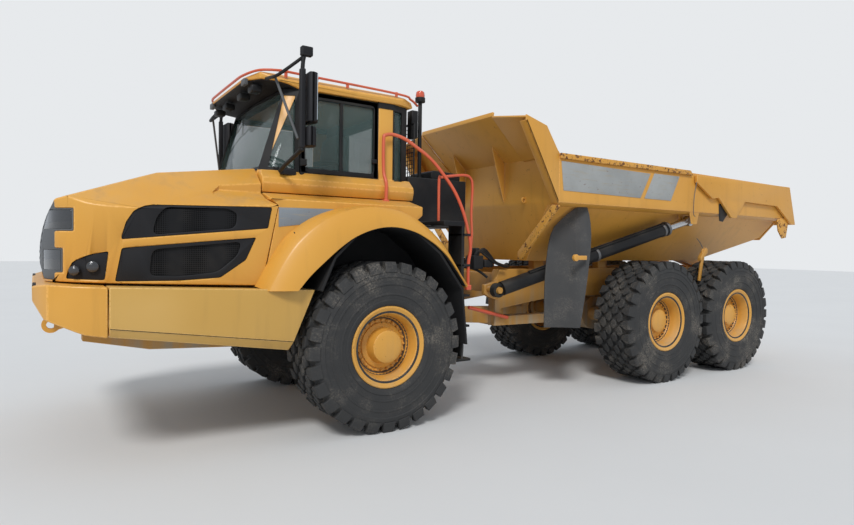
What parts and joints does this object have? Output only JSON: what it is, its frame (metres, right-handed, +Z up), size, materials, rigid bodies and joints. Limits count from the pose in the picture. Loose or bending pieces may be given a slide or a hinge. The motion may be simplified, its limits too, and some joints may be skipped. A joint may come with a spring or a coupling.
{
  "type": "articulated dump truck",
  "caption": "Articulated hauler: tractor with hood and glazed cab, hinged to a six-wheel-drive load unit with tipping body, spill guard and overhung tailgate.",
  "frame": {"origin": "centre of the whole truck's footprint box, on the ground under the tyres, with the truck straight and its body down", "axes": "-X is the driving direction, -Y is the truck's left side, where the cab door is, +Z is up"},
  "size_m": [10.21, 2.9, 3.3298],
  "materials": {
    "yellow_paint": "semi-gloss construction-machine yellow, dusty, worn at edges",
    "black_paint": "satin black paint, dusty",
    "black_plastic": "moulded matt black plastic",
    "grey_plastic": "moulded grey plastic",
    "bare_steel": "machined steel, lightly oiled",
    "cast_grey": "cast housing, dusty grey",
    "red_paint": "orange-red safety paint",
    "tyre_rubber": "dusty black rubber",
    "flap_rubber": "grey-black sheet rubber, dusty",
    "window_glass": "green-tinted safety glass",
    "seat_cloth": "grey woven seat cloth"
  },
  "bodies": {
    "tractor": {"front_frame": "yellow_paint", "front_axle": "yellow_paint", "engine_block": "cast_grey", "bumper": "yellow_paint", "side_skirts": "yellow_paint", "fenders": "yellow_paint", "fender_liners": "black_plastic", "cab_shell": "yellow_paint", "cab_roof": "yellow_paint", "cab_glass": "window_glass", "cab_interior": "seat_cloth", "mirrors": "black_plastic", "rails_steps": "red_paint", "rear_deck": "black_paint"},
    "hood": {"hood": "yellow_paint", "hood_vents": "black_plastic", "nose_grille": "grey_plastic"},
    "door": {"cab_door": "black_paint", "door_glass": "window_glass"},
    "hitch": {"hitch": "yellow_paint"},
    "rear_frame": {"rear_frame": "yellow_paint", "rear_axles": "yellow_paint"},
    "bed": {"bed": "yellow_paint", "spill_guard": "yellow_paint", "bed_flaps": "flap_rubber"},
    "tailgate": {"tailgate": "yellow_paint"},
    "wheel_front_left": {"wheel_front_left": "yellow_paint", "tyre_front_left": "tyre_rubber"},
    "wheel_front_right": {"wheel_front_right": "yellow_paint", "tyre_front_right": "tyre_rubber"},
    "wheel_mid_left": {"wheel_mid_left": "yellow_paint", "tyre_mid_left": "tyre_rubber"},
    "wheel_mid_right": {"wheel_mid_right": "yellow_paint", "tyre_mid_right": "tyre_rubber"},
    "wheel_rear_left": {"wheel_rear_left": "yellow_paint", "tyre_rear_left": "tyre_rubber"},
    "wheel_rear_right": {"wheel_rear_right": "yellow_paint", "tyre_rear_right": "tyre_rubber"},
    "hoist_barrel_left": {"hoist_barrel_left": "black_paint"},
    "hoist_rod_left": {"hoist_rod_left": "bare_steel"},
    "steer_barrel_left": {"steer_barrel_left": "black_paint"},
    "steer_rod_left": {"steer_rod_left": "bare_steel"},
    "hoist_barrel_right": {"hoist_barrel_right": "black_paint"},
    "hoist_rod_right": {"hoist_rod_right": "bare_steel"},
    "steer_barrel_right": {"steer_barrel_right": "black_paint"},
    "steer_rod_right": {"steer_rod_right": "bare_steel"}
  },
  "joints": [
    {"name": "steering", "type": "hinge", "parent": "tractor", "child": "hitch", "pos_m": [-1.115, 0, 0.9], "axis": [0, 0, 1], "range_deg": [-45, 45]},
    {"name": "hitch_roll", "type": "hinge", "parent": "hitch", "child": "rear_frame", "pos_m": [-0.715, 0, 0.9], "axis": [1, 0, 0], "range_deg": [-15, 15]},
    {"name": "bed_tip", "type": "hinge", "parent": "rear_frame", "child": "bed", "pos_m": [4.115, 0, 1.45], "axis": [0, 1, 0], "range_deg": [0, 74]},
    {"name": "tailgate_lift", "type": "hinge", "parent": "bed", "child": "tailgate", "pos_m": [3.355, 0, 2.38], "axis": [0, -1, 0], "range_deg": [0, 37]},
    {"name": "hood_tilt", "type": "hinge", "parent": "tractor", "child": "hood", "pos_m": [-5.035, 0, 1.395], "axis": [0, -1, 0], "range_deg": [0, 60]},
    {"name": "cab_door", "type": "hinge", "parent": "tractor", "child": "door", "pos_m": [-3.007, -0.873, 2.69], "axis": [0, 0, -1], "range_deg": [0, 70]},
    {"name": "hoist_swing_left", "type": "hinge", "parent": "rear_frame", "child": "hoist_barrel_left", "pos_m": [-0.535, -0.78, 1.235], "axis": [-0.2745, -0.8375, 0.4725], "range_deg": [0, 6.37]},
    {"name": "hoist_extend_left", "type": "slide", "parent": "hoist_barrel_left", "child": "hoist_rod_left", "axis": [0.9464, -0.1483, 0.2871], "range_m": [0, 2.1071]},
    {"name": "hoist_swing_right", "type": "hinge", "parent": "rear_frame", "child": "hoist_barrel_right", "pos_m": [-0.535, 0.78, 1.235], "axis": [0.2745, -0.8375, -0.4725], "range_deg": [0, 6.37]},
    {"name": "hoist_extend_right", "type": "slide", "parent": "hoist_barrel_right", "child": "hoist_rod_right", "axis": [0.9464, 0.1483, 0.2871], "range_m": [0, 2.1071]},
    {"name": "steer_swing_left", "type": "hinge", "parent": "tractor", "child": "steer_barrel_left", "pos_m": [-2.005, -0.37, 0.9], "axis": [0, 0, 1], "range_deg": [-7.47, 7.47]},
    {"name": "steer_extend_left", "type": "slide", "parent": "steer_barrel_left", "child": "steer_rod_left", "axis": [0.9994, 0.0357, 0], "range_m": [-0.2508, 0.2508]},
    {"name": "steer_swing_right", "type": "hinge", "parent": "tractor", "child": "steer_barrel_right", "pos_m": [-2.005, 0.37, 0.9], "axis": [0, 0, 1], "range_deg": [-7.47, 7.47]},
    {"name": "steer_extend_right", "type": "slide", "parent": "steer_barrel_right", "child": "steer_rod_right", "axis": [0.9994, -0.0357, 0], "range_m": [-0.2508, 0.2508]},
    {"name": "roll_front_left", "type": "hinge", "parent": "tractor", "child": "wheel_front_left", "pos_m": [-2.335, -1.129, 0.795], "axis": [0, 1, 0], "continuous": true},
    {"name": "roll_front_right", "type": "hinge", "parent": "tractor", "child": "wheel_front_right", "pos_m": [-2.335, 1.129, 0.795], "axis": [0, 1, 0], "continuous": true},
    {"name": "roll_mid_left", "type": "hinge", "parent": "rear_frame", "child": "wheel_mid_left", "pos_m": [1.84, -1.129, 0.795], "axis": [0, 1, 0], "continuous": true},
    {"name": "roll_mid_right", "type": "hinge", "parent": "rear_frame", "child": "wheel_mid_right", "pos_m": [1.84, 1.129, 0.795], "axis": [0, 1, 0], "continuous": true},
    {"name": "roll_rear_left", "type": "hinge", "parent": "rear_frame", "child": "wheel_rear_left", "pos_m": [3.51, -1.129, 0.795], "axis": [0, 1, 0], "continuous": true},
    {"name": "roll_rear_right", "type": "hinge", "parent": "rear_frame", "child": "wheel_rear_right", "pos_m": [3.51, 1.129, 0.795], "axis": [0, 1, 0], "continuous": true}
  ],
  "couplings": [
    {"joint": "tailgate_lift", "follows": "bed_tip", "ratio": 0.5},
    {"joint": "hoist_swing_left", "follows": "bed_tip", "ratio": 0.08597},
    {"joint": "hoist_extend_left", "follows": "bed_tip", "m_per_rad": 1.6311},
    {"joint": "hoist_swing_right", "follows": "bed_tip", "ratio": 0.08597},
    {"joint": "hoist_extend_right", "follows": "bed_tip", "m_per_rad": 1.6311},
    {"joint": "steer_swing_left", "follows": "steering", "ratio": 0.1658},
    {"joint": "steer_extend_left", "follows": "steering", "m_per_rad": 0.3187},
    {"joint": "steer_swing_right", "follows": "steering", "ratio": 0.1658},
    {"joint": "steer_extend_right", "follows": "steering", "m_per_rad": -0.3187}
  ]
}
